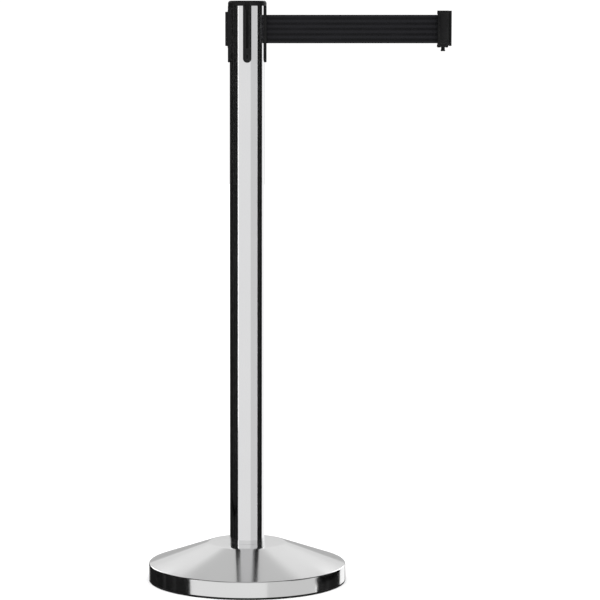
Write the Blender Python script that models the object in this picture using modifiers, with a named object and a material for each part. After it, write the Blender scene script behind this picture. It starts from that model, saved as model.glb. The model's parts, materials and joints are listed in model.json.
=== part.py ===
"""Retractable belt stanchion: weighted base, tubular post, four-way head with a belt cassette.

Origin: the post's axis at floor level. +Z is up, the belt leaves the head along +X.
Units are metres.
"""

from math import asin, atan2, cos, hypot, pi, radians, sin, tan

import bmesh
import bpy
from mathutils import Matrix, Vector

# ---------------------------------------------------------------- driving dimensions

GAP = 0.0003  # clearance between pieces that touch

HEIGHT = 1.042
BASE_RADIUS = 0.178
PAD_THICKNESS = 0.0028
RIM_TOP = 0.0312
CONE_SLOPE = radians(19.5)
SEAT_RADIUS = 0.070  # flat seat for the post, on top of the cone
SHEET = 0.0010  # base cover's metal
SEAT_TOP = RIM_TOP + (BASE_RADIUS - SEAT_RADIUS) * tan(CONE_SLOPE)
BOLT_RADIUS = 0.0060  # holds the post's foot plug to the base weight
BOLT_HEAD_RADIUS = 0.0104
BOLT_HEAD_HEIGHT = 0.0075
BOLT_ABOVE_SEAT = 0.038

TUBE_RADIUS = 0.0312
TUBE_WALL = 0.0015
TUBE_BORE = TUBE_RADIUS - TUBE_WALL
CAP_RADIUS = 0.0344
CAP_BOTTOM = HEIGHT - 0.0087

STRIP_WIDTH = 0.0144  # the receivers and the belt outlet
STRIP_INNER = 0.0250
STRIP_OUTER = CAP_RADIUS
STRIP_BOTTOM = 0.933
STRIP_TOP = CAP_BOTTOM - GAP
CHANNEL_BOTTOM = 0.958
CHANNEL_WIDTH = 0.0094
CHANNEL_INNER = 0.0274
LIP_INNER = 0.0319
LIP_GAP = 0.0050
LOCK_HOLE_Z = 0.9435
LOCK_POCKET_WIDTH = 0.0044
LOCK_POCKET_HEIGHT = 0.0080
LOCK_POCKET_DEPTH = 0.0045
CAP_SCREW_X = 0.0150
CUT_REACH = 0.040  # cutters end this far from the axis, outside the head

HOUSING_RADIUS = TUBE_BORE - 0.0006
HOUSING_BOTTOM = 0.9262
HOUSING_FLOOR = 0.9292
HOUSING_TOP = 1.0285
LID_BOTTOM = HOUSING_TOP + GAP
LID_TOP = LID_BOTTOM + 0.0030

AXLE_RADIUS = 0.0025
AXLE_HOLE = 0.0028
BUSH_RADIUS = 0.0042
BUSH_LENGTH = 0.008
DRUM_RADIUS = 0.0065
ARBOR_RADIUS = 0.0056
FLANGE_RADIUS = 0.0235
FLANGE_THICKNESS = 0.0015

BELT_LOW = 0.9668
BELT_HIGH = 1.0171
BELT_THICKNESS = 0.0006
ROLL_RADIUS = 0.0205
SPOOL_LOW = BELT_LOW - 0.0028  # underside of the lower flange
SPOOL_HIGH = BELT_HIGH + 0.0028  # top of the upper flange

SPRING_LOW = 0.9330
SPRING_HIGH = 0.9565
SPRING_CUP_RADIUS = 0.0246
SPRING_CUP_TOP = 0.9585

PIN_RADIUS = 0.0013  # belt guide pins
PIN_X = 0.0273
PIN_Y = PIN_RADIUS + BELT_THICKNESS / 2 + GAP

BRAKE_LOW = SPOOL_HIGH + GAP
SHOE_TRAVEL = 0.0006
DRUM_BRAKE_INNER = 0.0203
SHOE_OUTER = DRUM_BRAKE_INNER - GAP - SHOE_TRAVEL

END_X = 0.3476  # middle of the belt end
BELT_PIN_X = END_X - 0.0055
END_HALF_WIDTH = 0.0097
END_HALF_DEPTH = 0.0062
END_TOP = 1.0246
END_BOTTOM = 0.9665
END_FOOT = 0.9593
END_DOME = 0.9602  # underside between the feet
T_BAR_LOW = 0.9620
T_BAR_NECK = 0.0024
T_BAR_REACH = 0.0050
T_BAR_HEAD_WIDTH = 0.0090
T_BAR_WEB_WIDTH = 0.0044
KNOB_BOTTOM = 0.9528
INSET_HALF_WIDTH = 0.0063  # smooth plate let into the belt end's front
INSET_LOW = 0.9709
INSET_HIGH = 1.0181
LOCK_STEM_RADIUS = 0.0028
LOCK_NECK_RADIUS = 0.0034  # below the belt end
LOCK_GRIP_RADIUS = 0.0043
LOCK_TIP_RADIUS = 0.0019
LOCK_ROOM_RADIUS = 0.0038  # room for the lock's collar and spring
LOCK_ROOM_LOW = 0.9700
LOCK_ROOM_TOP = 0.9905

BLACK_PLASTIC = ("black_plastic", (0.014, 0.014, 0.015), 0.45, 0.0)
CHROME = ("polished_steel", (0.62, 0.62, 0.63), 0.06, 1.0)
SATIN = ("satin_steel", (0.58, 0.58, 0.58), 0.22, 1.0)
CAST_IRON = ("cast_iron", (0.07, 0.07, 0.07), 0.75, 0.6)
RUBBER = ("black_rubber", (0.012, 0.012, 0.012), 0.85, 0.0)
ZINC = ("zinc_steel", (0.45, 0.45, 0.46), 0.35, 1.0)
SPRING_STEEL = ("spring_steel", (0.22, 0.23, 0.26), 0.3, 1.0)
NYLON = ("nylon", (0.75, 0.74, 0.70), 0.5, 0.0)
BRASS = ("brass", (0.62, 0.45, 0.18), 0.3, 1.0)
WEBBING = ("black_webbing", (0.016, 0.016, 0.018), 0.9, 0.0)


# ---------------------------------------------------------------- scene and materials


def clear_scene():
    for obj in list(bpy.data.objects):
        bpy.data.objects.remove(obj, do_unlink=True)


def new_collection(name):
    made = bpy.data.collections.new(name)
    bpy.context.scene.collection.children.link(made)
    return made


def get_material(finish):
    name, colour, roughness, metallic = finish
    found = bpy.data.materials.get(name)
    if found:
        return found
    made = bpy.data.materials.new(name)
    made.use_nodes = True
    shader = made.node_tree.nodes["Principled BSDF"]
    shader.inputs["Base Color"].default_value = (*colour, 1.0)
    shader.inputs["Roughness"].default_value = roughness
    shader.inputs["Metallic"].default_value = metallic
    made.diffuse_color = (*colour, 1.0)
    return made


def add_object(name, mesh, finish):
    """Link a mesh as a part, or as a cutter when it has no finish."""
    obj = bpy.data.objects.new(name, mesh)
    if finish is None:
        cutters.objects.link(obj)
        obj.hide_render = True
        obj.display_type = "WIRE"
    else:
        parts.objects.link(obj)
        mesh.materials.append(get_material(finish))
    return obj


# ---------------------------------------------------------------- shapes


def fillet(corners, steps=3):
    """Outline through corners given as (u, v) or (u, v, radius); a radius rounds that corner."""
    points = []
    for i, corner in enumerate(corners):
        here = Vector(corner[:2])
        if len(corner) == 2:
            points.append(tuple(here))
            continue
        before = (Vector(corners[i - 1][:2]) - here).normalized()
        after = (Vector(corners[(i + 1) % len(corners)][:2]) - here).normalized()
        half = before.angle(after) / 2
        centre = here + (before + after).normalized() * corner[2] / sin(half)
        start = here + before * corner[2] / tan(half) - centre
        end = here + after * corner[2] / tan(half) - centre
        sweep = start.angle_signed(end)
        for k in range(steps + 1):
            turned_by = Matrix.Rotation(-sweep * k / steps, 2)
            points.append(tuple(centre + turned_by @ start))
    return points


def turned(name, profile, finish, segments=24, ring=False, centre=(0, 0)):
    """Solid of revolution about a vertical line through centre; ring closes the profile."""
    mesh = bpy.data.meshes.new(name)
    edges = [(i, i + 1) for i in range(len(profile) - 1)]
    if ring:
        edges.append((len(profile) - 1, 0))
    mesh.from_pydata([(r, 0, z) for r, z in profile], edges, [])
    obj = add_object(name, mesh, finish)
    obj.location = (*centre, 0)
    screw = obj.modifiers.new("Turn", "SCREW")
    screw.axis = "Z"
    screw.angle = 2 * pi
    screw.steps = screw.render_steps = segments
    screw.use_merge_vertices = True
    screw.merge_threshold = 0.00001
    screw.use_smooth_shade = True
    return obj


def tube_profile(inner, outer, low, high):
    return [(inner, high), (outer, high), (outer, low), (inner, low)]


def rod_profile(radius, low, high):
    return [(0, high), (radius, high), (radius, low), (0, low)]


def curve_to_object(name, curve, matrix, finish):
    """Turn a curve into a welded mesh object."""
    guide = bpy.data.objects.new(name + "_guide", curve)
    bpy.context.scene.collection.objects.link(guide)
    evaluated = guide.evaluated_get(bpy.context.evaluated_depsgraph_get())
    mesh = bpy.data.meshes.new_from_object(evaluated)
    mesh.name = name
    work = bmesh.new()
    work.from_mesh(mesh)
    bmesh.ops.remove_doubles(work, verts=work.verts, dist=0.000001)
    work.to_mesh(mesh)
    work.free()
    bpy.data.objects.remove(guide, do_unlink=True)
    obj = add_object(name, mesh, finish)
    obj.matrix_world = matrix
    return obj


def poly_curve(name, points, closed):
    curve = bpy.data.curves.new(name, "CURVE")
    spline = curve.splines.new("POLY")
    spline.points.add(len(points) - 1)
    for point, place in zip(spline.points, points):
        point.co = (*place, *([0] * (3 - len(place))), 1)
    spline.use_cyclic_u = closed
    return curve


def plate(name, outline, low, high, finish, frame=Matrix.Identity(4)):
    """Flat outline, extruded from low to high along the frame's third axis."""
    curve = poly_curve(name, outline, True)
    curve.dimensions = "2D"
    curve.fill_mode = "BOTH"
    curve.extrude = (high - low) / 2
    return curve_to_object(name, curve, frame @ Matrix.Translation((0, 0, (low + high) / 2)), finish)


def box(name, low, high, finish=None):
    """Box between two corners; without a finish it is a cutter."""
    mesh = bpy.data.meshes.new(name)
    work = bmesh.new()
    bmesh.ops.create_cube(work, size=1)
    size = Vector(high) - Vector(low)
    bmesh.ops.scale(work, vec=size, verts=work.verts)
    work.to_mesh(mesh)
    work.free()
    obj = add_object(name, mesh, finish)
    obj.location = (Vector(low) + Vector(high)) / 2
    return obj


def ribbon(name, path, low, high, thickness, finish):
    """Upright band that follows a path seen from above."""
    curve = poly_curve(name, path, False)
    curve.dimensions = "2D"
    curve.fill_mode = "NONE"
    curve.extrude = (high - low) / 2
    obj = curve_to_object(name, curve, Matrix.Translation((0, 0, (low + high) / 2)), finish)
    solidify = obj.modifiers.new("Thickness", "SOLIDIFY")
    solidify.thickness = thickness
    solidify.offset = 0
    solidify.use_even_offset = True
    return obj


def helix(name, centre, radius, low, high, turns, wire, finish):
    """Coil spring as a round wire, 8 points a turn."""
    count = turns * 8
    points = []
    for i in range(count + 1):
        angle = 2 * pi * turns * i / count
        rise = low + wire + (high - low - 2 * wire) * i / count
        points.append((centre[0] + radius * cos(angle), centre[1] + radius * sin(angle), rise))
    curve = poly_curve(name, points, False)
    curve.dimensions = "3D"
    curve.bevel_depth = wire
    curve.bevel_resolution = 0
    curve.use_fill_caps = True
    return curve_to_object(name, curve, Matrix.Identity(4), finish)


def boolean(obj, tool, operation="DIFFERENCE", solver="EXACT"):
    step = obj.modifiers.new(operation.title() + " " + tool.name, "BOOLEAN")
    step.operation = operation
    step.solver = solver
    step.object = tool


def bevel(obj, width, segments=2, angle=30):
    step = obj.modifiers.new("Edges", "BEVEL")
    step.width = width
    step.segments = segments
    step.limit_method = "ANGLE"
    step.angle_limit = radians(angle)


def smooth(obj, angle=35):
    obj.data.shade_smooth()
    obj.data.set_sharp_from_angle(angle=radians(angle))


def facing(angle):
    """Frame with its outline's u across, v up and its third axis pointing out at this azimuth."""
    upright = Matrix(((0, 0, 1, 0), (1, 0, 0, 0), (0, 1, 0, 0), (0, 0, 0, 1)))
    return Matrix.Rotation(angle, 4, "Z") @ upright


def from_front():
    """Frame with its outline's u along +X, v up, and its third axis towards -Y."""
    return Matrix.Rotation(pi / 2, 4, "X")


def stadium(width, bottom, top, steps=12):
    """Upright strip outline, round at its lower end."""
    radius = width / 2
    points = [(radius, top), (-radius, top)]
    for i in range(steps + 1):
        angle = pi + pi * i / steps
        points.append((radius * cos(angle), bottom + radius + radius * sin(angle)))
    return points


def hang(children, name, place):
    """Parent pieces to an empty that stands on their joint's axis."""
    empty = bpy.data.objects.new(name, None)
    parts.objects.link(empty)
    empty.location = place
    for child in children:
        child.parent = empty
        child.matrix_parent_inverse = Matrix.Translation(place).inverted()


# ---------------------------------------------------------------- base


def make_base():
    pad_edge = 0.0008
    turned(
        "floor_pad",
        fillet([(0, PAD_THICKNESS), (BASE_RADIUS - 0.0004, PAD_THICKNESS, pad_edge),
                (BASE_RADIUS - 0.0004, 0), (0, 0)], 1),
        RUBBER, 56)

    cover = turned(
        "base_cover",
        fillet([(BOLT_RADIUS + 0.0008, SEAT_TOP), (SEAT_RADIUS, SEAT_TOP, 0.040),
                (BASE_RADIUS, RIM_TOP, 0.0030), (BASE_RADIUS, PAD_THICKNESS + GAP)], 2),
        SATIN, 56)
    skin = cover.modifiers.new("Sheet", "SOLIDIFY")
    skin.thickness = SHEET
    skin.offset = -1
    skin.use_even_offset = True

    under = SEAT_TOP - SHEET - GAP
    low = PAD_THICKNESS + GAP
    pocket_radius, pocket_top, bolt_hole = 0.0145, 0.0174, BOLT_RADIUS + 0.0005
    plate_top, rim_inner, outer = 0.0092, 0.154, BASE_RADIUS - SHEET - 0.0015
    turned(
        "base_weight",
        [(bolt_hole, under), (0.036, under), (0.044, plate_top + 0.006), (0.052, plate_top),
         (rim_inner, plate_top), (rim_inner + 0.004, plate_top + 0.007),
         (outer, plate_top + 0.007), (outer, low),
         (pocket_radius, low), (pocket_radius, pocket_top), (bolt_hole, pocket_top)],
        CAST_IRON, 40, ring=True)

    washer_low = pocket_top - GAP - 0.0025
    turned("base_washer", tube_profile(BOLT_RADIUS + 0.0004, 0.0128, washer_low, pocket_top - GAP), ZINC, 24,
           ring=True)

    head_top = washer_low - GAP
    hexagon = [(BOLT_HEAD_RADIUS * cos(pi * k / 3), BOLT_HEAD_RADIUS * sin(pi * k / 3)) for k in range(6)]
    bolt = plate("base_bolt", hexagon, head_top - BOLT_HEAD_HEIGHT, head_top, ZINC)
    shank = turned("bolt_shank", rod_profile(BOLT_RADIUS, head_top - 0.001, SEAT_TOP + BOLT_ABOVE_SEAT),
                   None, 20)
    boolean(bolt, shank, "UNION")

    plug_low, flange, boss = SEAT_TOP + GAP, 0.010, 0.032
    bore = BOLT_RADIUS + GAP
    turned(
        "post_foot_plug",
        [(bore, plug_low + boss), (0.014, plug_low + boss), (0.016, plug_low + flange + 0.002),
         (TUBE_BORE - GAP, plug_low + flange), (TUBE_BORE - GAP, plug_low), (bore, plug_low)],
        ZINC, 28, ring=True)


# ---------------------------------------------------------------- post and cap


def make_post():
    tube = turned(
        "post_tube",
        tube_profile(TUBE_BORE, TUBE_RADIUS, SEAT_TOP + GAP, STRIP_TOP),
        CHROME, 48, ring=True)
    outline = stadium(STRIP_WIDTH + 2 * GAP, STRIP_BOTTOM - GAP, HEIGHT)
    for i in range(4):
        slot = plate(f"tube_slot_{i}", outline, TUBE_BORE - 0.003, CUT_REACH, None, facing(i * pi / 2))
        boolean(tube, slot)


def cap_screw_profile(clearance):
    top, head, shank = HEIGHT - GAP, 0.0030 + clearance, 0.0015 + clearance
    land, cone, tip = 0.0003, 0.0017, LID_BOTTOM + GAP - clearance
    return [(0, top + clearance * 2), (head, top + clearance * 2), (head, top - land),
            (shank, top - cone), (shank, tip), (0, tip)]


def make_cap():
    pocket_radius, roof = 0.0225, HEIGHT - 0.0030
    skirt_radius, skirt_bottom = STRIP_INNER - GAP, LID_TOP + GAP  # stands on the cassette's lid
    cap = turned(
        "top_cap",
        fillet([(0, HEIGHT), (CAP_RADIUS, HEIGHT, 0.0050), (CAP_RADIUS, CAP_BOTTOM),
                (skirt_radius, CAP_BOTTOM), (skirt_radius, skirt_bottom), (pocket_radius, skirt_bottom),
                (pocket_radius, roof), (0, roof)], 3),
        BLACK_PLASTIC, 40)
    half = CHANNEL_WIDTH / 2 + 0.0002
    for name, turn in (("front", -pi / 2), ("left", pi), ("rear", pi / 2)):
        notch = box(f"cap_notch_{name}", (CHANNEL_INNER - 0.0004, -half, CAP_BOTTOM - 0.001),
                    (CUT_REACH, half, HEIGHT + 0.001))
        notch.matrix_world = Matrix.Rotation(turn, 4, "Z") @ Matrix.Translation(notch.location)
        boolean(cap, notch)
    for number, side in ((1, -1), (2, 1)):
        place = (side * CAP_SCREW_X, 0)
        turned(f"cap_screw_{number}", cap_screw_profile(0), ZINC, 16, centre=place)
        boolean(cap, turned(f"cap_screw_hole_{number}", cap_screw_profile(GAP), None, 16, centre=place))


# ---------------------------------------------------------------- receivers and belt outlet


def make_strip(name, angle):
    strip = plate(name, stadium(STRIP_WIDTH, STRIP_BOTTOM, STRIP_TOP), STRIP_INNER, STRIP_OUTER,
                  BLACK_PLASTIC, facing(angle))
    bevel(strip, 0.0009)
    smooth(strip)
    return strip


def make_receiver(name, angle):
    """Strip with a T-shaped channel, open at the top, and a pocket for the belt end's lock."""
    strip = make_strip(name, angle)
    half = CHANNEL_WIDTH / 2
    channel = plate(name + "_channel", [(half, CHANNEL_BOTTOM), (half, HEIGHT),
                                        (-half, HEIGHT), (-half, CHANNEL_BOTTOM)],
                    CHANNEL_INNER, LIP_INNER, None, facing(angle))
    mouth = plate(name + "_mouth", stadium(LIP_GAP, CHANNEL_BOTTOM - 0.002, HEIGHT, 8),
                  LIP_INNER - 0.001, STRIP_OUTER + 0.002, None, facing(angle))
    steps = 14
    oval = [(LOCK_POCKET_WIDTH / 2 * cos(2 * pi * k / steps),
             LOCK_HOLE_Z + LOCK_POCKET_HEIGHT / 2 * sin(2 * pi * k / steps)) for k in range(steps)]
    pocket = plate(name + "_pocket", oval, STRIP_OUTER - LOCK_POCKET_DEPTH, STRIP_OUTER + 0.002, None,
                   facing(angle))
    for tool in (channel, mouth, pocket):
        boolean(strip, tool)


def make_outlet():
    """Strip that the belt leaves through, with a pocket inside for its two guide pins."""
    strip = make_strip("belt_outlet", 0)
    pocket_end, wide, narrow = PIN_X + PIN_RADIUS + GAP, 0.0042, 0.0011
    half = [(STRIP_INNER - 0.002, wide), (pocket_end, wide), (pocket_end, narrow), (CUT_REACH, narrow)]
    outline = half + [(u, -v) for u, v in reversed(half)]
    boolean(strip, plate("outlet_slot", outline, BELT_LOW - 0.0042, BELT_HIGH + 0.0042, None))
    for number, side in ((1, -1), (2, 1)):
        turned(f"belt_guide_pin_{number}", rod_profile(PIN_RADIUS, BELT_LOW - 0.0039, BELT_HIGH + 0.0039),
               ZINC, 12, centre=(PIN_X, side * PIN_Y))


def make_slot_clip():
    """Plate seated in the left receiver by a T-shaped back."""
    plate_inner, plate_outer = STRIP_OUTER + GAP, 0.0390
    web, head, wide = 0.0022, 0.0045, 0.0060
    neck, back = LIP_INNER - GAP, LIP_INNER - 0.0021
    half = [(back, head), (neck, head), (neck, web), (plate_inner, web), (plate_inner, wide),
            (plate_outer, wide)]
    outline = half + [(u, -v) for u, v in reversed(half)]
    low, high = 0.9616, 1.0224
    clip = plate("slot_clip", outline, low, high, BLACK_PLASTIC, Matrix.Rotation(pi, 4, "Z"))
    slope = plate("clip_slope", [(-0.0420, low - 0.003), (-plate_inner, low - 0.003),
                                 (-plate_inner, low), (-0.0420, low + 0.0040)],
                  -0.010, 0.010, None, from_front())
    boolean(clip, slope)


# ---------------------------------------------------------------- cassette inside the head


def make_housing():
    slots = [plate(f"housing_slot_{i}", stadium(STRIP_WIDTH + 2 * GAP, STRIP_BOTTOM - GAP, HEIGHT),
                   STRIP_INNER - GAP, CUT_REACH, None, facing(i * pi / 2)) for i in range(4)]
    inner = 0.0256
    housing = turned(
        "cassette_housing",
        [(inner, HOUSING_TOP), (HOUSING_RADIUS, HOUSING_TOP), (HOUSING_RADIUS, HOUSING_BOTTOM),
         (AXLE_HOLE, HOUSING_BOTTOM), (AXLE_HOLE, HOUSING_FLOOR), (inner, HOUSING_FLOOR)],
        BLACK_PLASTIC, 36, ring=True)
    lid = turned("cassette_lid", tube_profile(AXLE_HOLE, HOUSING_RADIUS, LID_BOTTOM, LID_TOP),
                 BLACK_PLASTIC, 36, ring=True)
    for slot in slots:
        boolean(housing, slot)
        boolean(lid, slot)
    for number, side in ((1, -1), (2, 1)):
        hole = turned(f"lid_hole_{number}", rod_profile(0.0018, LID_BOTTOM - 0.001, LID_TOP + 0.001),
                      None, 12, centre=(side * CAP_SCREW_X, 0))
        boolean(lid, hole)


def make_axle():
    head_low = HOUSING_BOTTOM - GAP - 0.0020
    turned(
        "spool_axle",
        [(0, LID_TOP + 0.0040), (AXLE_RADIUS, LID_TOP + 0.0040), (AXLE_RADIUS, HOUSING_BOTTOM - GAP),
         (0.0050, HOUSING_BOTTOM - GAP), (0.0050, head_low), (0, head_low)],
        ZINC, 16)
    turned("axle_retaining_ring",
           tube_profile(AXLE_HOLE, 0.0050, LID_TOP + GAP, LID_TOP + 0.0016), ZINC, 16, ring=True)


def spiral(turns, inner, outer, steps_a_turn):
    count = turns * steps_a_turn
    points = []
    for i in range(count + 1):
        radius = inner + (outer - inner) * i / count
        angle = 2 * pi * i / steps_a_turn
        points.append((radius * cos(angle), radius * sin(angle)))
    return points


def make_spring():
    cup_floor = HOUSING_FLOOR + GAP
    turned(
        "spring_cup",
        [(SPRING_CUP_RADIUS - 0.0010, SPRING_CUP_TOP), (SPRING_CUP_RADIUS, SPRING_CUP_TOP),
         (SPRING_CUP_RADIUS, cup_floor), (AXLE_HOLE, cup_floor), (AXLE_HOLE, cup_floor + 0.0015),
         (SPRING_CUP_RADIUS - 0.0010, cup_floor + 0.0015)],
        ZINC, 28, ring=True)
    cover_low, cover_high = SPRING_CUP_TOP + GAP, SPRING_CUP_TOP + 0.0015
    turned("spring_cup_cover", tube_profile(ARBOR_RADIUS + GAP, SPRING_CUP_RADIUS, cover_low, cover_high),
           ZINC, 28, ring=True)
    ribbon("mainspring", spiral(5, ARBOR_RADIUS + 0.0009, SPRING_CUP_RADIUS - 0.0018, 12),
           SPRING_LOW, SPRING_HIGH, 0.0008, SPRING_STEEL)


def make_spool():
    arbor_low, boss_high = SPRING_LOW - 0.0005, LID_BOTTOM - 0.0008
    seat = BUSH_RADIUS + GAP
    bore = AXLE_HOLE + 0.0002
    turned(
        "spool",
        [(seat, boss_high), (DRUM_RADIUS, boss_high), (DRUM_RADIUS, SPOOL_HIGH),
         (FLANGE_RADIUS, SPOOL_HIGH), (FLANGE_RADIUS, SPOOL_HIGH - FLANGE_THICKNESS),
         (DRUM_RADIUS, SPOOL_HIGH - FLANGE_THICKNESS), (DRUM_RADIUS, SPOOL_LOW + FLANGE_THICKNESS),
         (FLANGE_RADIUS, SPOOL_LOW + FLANGE_THICKNESS), (FLANGE_RADIUS, SPOOL_LOW),
         (ARBOR_RADIUS, SPOOL_LOW), (ARBOR_RADIUS, arbor_low), (seat, arbor_low),
         (seat, arbor_low + BUSH_LENGTH + GAP), (bore, arbor_low + BUSH_LENGTH + GAP),
         (bore, boss_high - BUSH_LENGTH - GAP), (seat, boss_high - BUSH_LENGTH - GAP)],
        NYLON, 28, ring=True)
    turned("spool_bush_lower", tube_profile(AXLE_HOLE, BUSH_RADIUS, arbor_low, arbor_low + BUSH_LENGTH),
           BRASS, 16, ring=True)
    turned("spool_bush_upper", tube_profile(AXLE_HOLE, BUSH_RADIUS, boss_high - BUSH_LENGTH, boss_high),
           BRASS, 16, ring=True)
    turned("belt_roll", tube_profile(DRUM_RADIUS + GAP, ROLL_RADIUS, BELT_LOW, BELT_HIGH),
           WEBBING, 28, ring=True)


def make_brake():
    high = LID_BOTTOM - 0.0005
    turned("brake_ring", tube_profile(DRUM_BRAKE_INNER, 0.0223, BRAKE_LOW, high), ZINC, 28, ring=True)
    inner, spread, steps = DRUM_RADIUS + 0.0012, radians(52), 8
    angles = [-spread + 2 * spread * k / steps for k in range(steps + 1)]
    outline = [(SHOE_OUTER * cos(a), SHOE_OUTER * sin(a)) for a in angles]
    outline += [(inner * cos(a), inner * sin(a)) for a in reversed(angles)]
    for number, turn in ((1, 0), (2, pi)):
        shoe = plate(f"brake_shoe_{number}", outline, BRAKE_LOW, BRAKE_LOW + 0.0060, NYLON,
                     Matrix.Rotation(turn, 4, "Z"))
        smooth(shoe)


# ---------------------------------------------------------------- belt and belt end


def belt_path():
    """Off the roll, round the guide pin and straight out; the crossing tangent joins the two circles."""
    roll = ROLL_RADIUS + GAP + BELT_THICKNESS / 2
    pin = PIN_RADIUS + GAP + BELT_THICKNESS / 2
    between = hypot(PIN_X, PIN_Y)
    heading = atan2(PIN_Y, PIN_X) - asin((roll + pin) / between)
    points = [(-roll * sin(heading + 0.35), roll * cos(heading + 0.35)),
              (-roll * sin(heading + 0.17), roll * cos(heading + 0.17)),
              (-roll * sin(heading), roll * cos(heading))]
    steps = 5
    for k in range(steps + 1):
        angle = heading * (1 - k / steps)
        points.append((PIN_X + pin * sin(angle), PIN_Y - pin * cos(angle)))
    points.append((BELT_PIN_X - PIN_RADIUS - GAP, 0))
    return points


def make_belt():
    return ribbon("belt", belt_path(), BELT_LOW, BELT_HIGH, BELT_THICKNESS, WEBBING)


def end_outline():
    """Belt end seen from the front: square top, and two small feet below its underside."""
    half, foot, step = END_HALF_WIDTH, 0.0010, 0.0006
    return [(half, END_TOP), (-half, END_TOP), (-half, END_BOTTOM),
            (-half - foot, END_FOOT + 0.0022), (-half + 0.0004, END_FOOT), (-half + 0.0036, END_FOOT),
            (-half + 0.0036 + step, END_DOME), (half - 0.0045 - step, END_DOME), (half - 0.0045, END_FOOT),
            (half - 0.0014, END_FOOT), (half - 0.0012, END_FOOT + 0.0030), (half, END_BOTTOM)]


END_SCREWS = ((END_X, 1.0212), (END_X + 0.0068, 0.9638), (END_X - 0.0077, 0.9638))


def end_screw(name, place, clearance, finish):
    """Countersunk screw from the rear of the belt end."""
    rear, tip = END_HALF_DEPTH - GAP, -END_HALF_DEPTH + 0.0020 - clearance
    head, shank, land, cone = 0.0012 + clearance, 0.0007 + clearance, 0.0003, 0.0010
    screw = turned(name, [(0, rear + clearance * 2), (head, rear + clearance * 2), (head, rear - land),
                          (shank, rear - cone), (shank, tip), (0, tip)], finish, 12)
    screw.matrix_world = Matrix.Translation((place[0], 0, place[1])) @ Matrix.Rotation(-pi / 2, 4, "X")
    return screw


def make_end_halves():
    """Front and rear moulded halves, hollowed for the belt's loop, the lock and its spring."""
    frame = Matrix.Translation((END_X, 0, 0)) @ from_front()
    loop, slit = 0.0027, 0.0006
    half_room = [(END_X - 0.020, slit), (BELT_PIN_X - loop, slit), (BELT_PIN_X - loop, loop),
                 (BELT_PIN_X + loop * 0.7, loop)]
    room_outline = half_room + [(u, -v) for u, v in reversed(half_room)]
    room, hole = LOCK_ROOM_RADIUS, LOCK_STEM_RADIUS + GAP
    tip_hole, tip_top, below = LOCK_TIP_RADIUS + 0.0005, LOCK_ROOM_TOP + 0.0023, KNOB_BOTTOM
    lock_room = [(0, tip_top), (tip_hole, tip_top), (tip_hole, LOCK_ROOM_TOP), (room, LOCK_ROOM_TOP),
                 (room, LOCK_ROOM_LOW), (hole, LOCK_ROOM_LOW), (hole, below), (0, below)]
    tools = [
        plate("end_belt_room", room_outline, BELT_LOW - 0.0010, BELT_HIGH + 0.0010, None),
        turned("end_lock_room", lock_room, None, 16, centre=(END_X, 0)),
    ]
    tools += [end_screw(f"end_screw_hole_{i}", place, GAP, None) for i, place in enumerate(END_SCREWS)]
    recess = box("end_inset_recess", (END_X - INSET_HALF_WIDTH - GAP, -0.010, INSET_LOW - GAP),
                 (END_X + INSET_HALF_WIDTH + GAP, -END_HALF_DEPTH + 0.0012, INSET_HIGH + GAP))
    halves = []
    for name, side in (("belt_end_front", -1), ("belt_end_rear", 1)):
        half = plate(name, end_outline(), -END_HALF_DEPTH, END_HALF_DEPTH, BLACK_PLASTIC, frame)
        bevel(half, 0.0007, angle=50)
        smooth(half)
        other = sorted((-side * 0.020, side * GAP / 2))
        cutaway = box(name + "_split", (END_X - 0.03, other[0], 0.9), (END_X + 0.03, other[1], 1.1))
        for tool in [cutaway] + tools + ([recess] if side < 0 else []):
            boolean(half, tool, solver="MANIFOLD")
        halves.append(half)
    inset = box("belt_end_inset", (END_X - INSET_HALF_WIDTH, -END_HALF_DEPTH - 0.0001, INSET_LOW),
                (END_X + INSET_HALF_WIDTH, -END_HALF_DEPTH + 0.0009, INSET_HIGH), BLACK_PLASTIC)
    bevel(inset, 0.0003, 1)
    pin = turned("belt_pin", rod_profile(0.0013, BELT_LOW - 0.0003, BELT_HIGH + 0.0003), ZINC, 12,
                 centre=(BELT_PIN_X, 0))
    screws = [end_screw(f"belt_end_screw_{i + 1}", place, 0, ZINC) for i, place in enumerate(END_SCREWS)]
    return halves + [inset, pin] + screws


def make_t_bar():
    """Bar on the belt end's outer edge that slides into a receiver's channel."""
    near = END_HALF_WIDTH + GAP
    neck, far = near + T_BAR_NECK, near + T_BAR_REACH
    web, head = T_BAR_WEB_WIDTH / 2, T_BAR_HEAD_WIDTH / 2
    half = [(far, head), (neck, head), (neck, web), (near, web)]
    outline = half + [(u, -v) for u, v in reversed(half)]
    bar = plate("t_bar", outline, T_BAR_LOW, END_TOP - GAP, BLACK_PLASTIC, Matrix.Translation((END_X, 0, 0)))
    bevel(bar, 0.0004, 1)
    return bar


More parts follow.
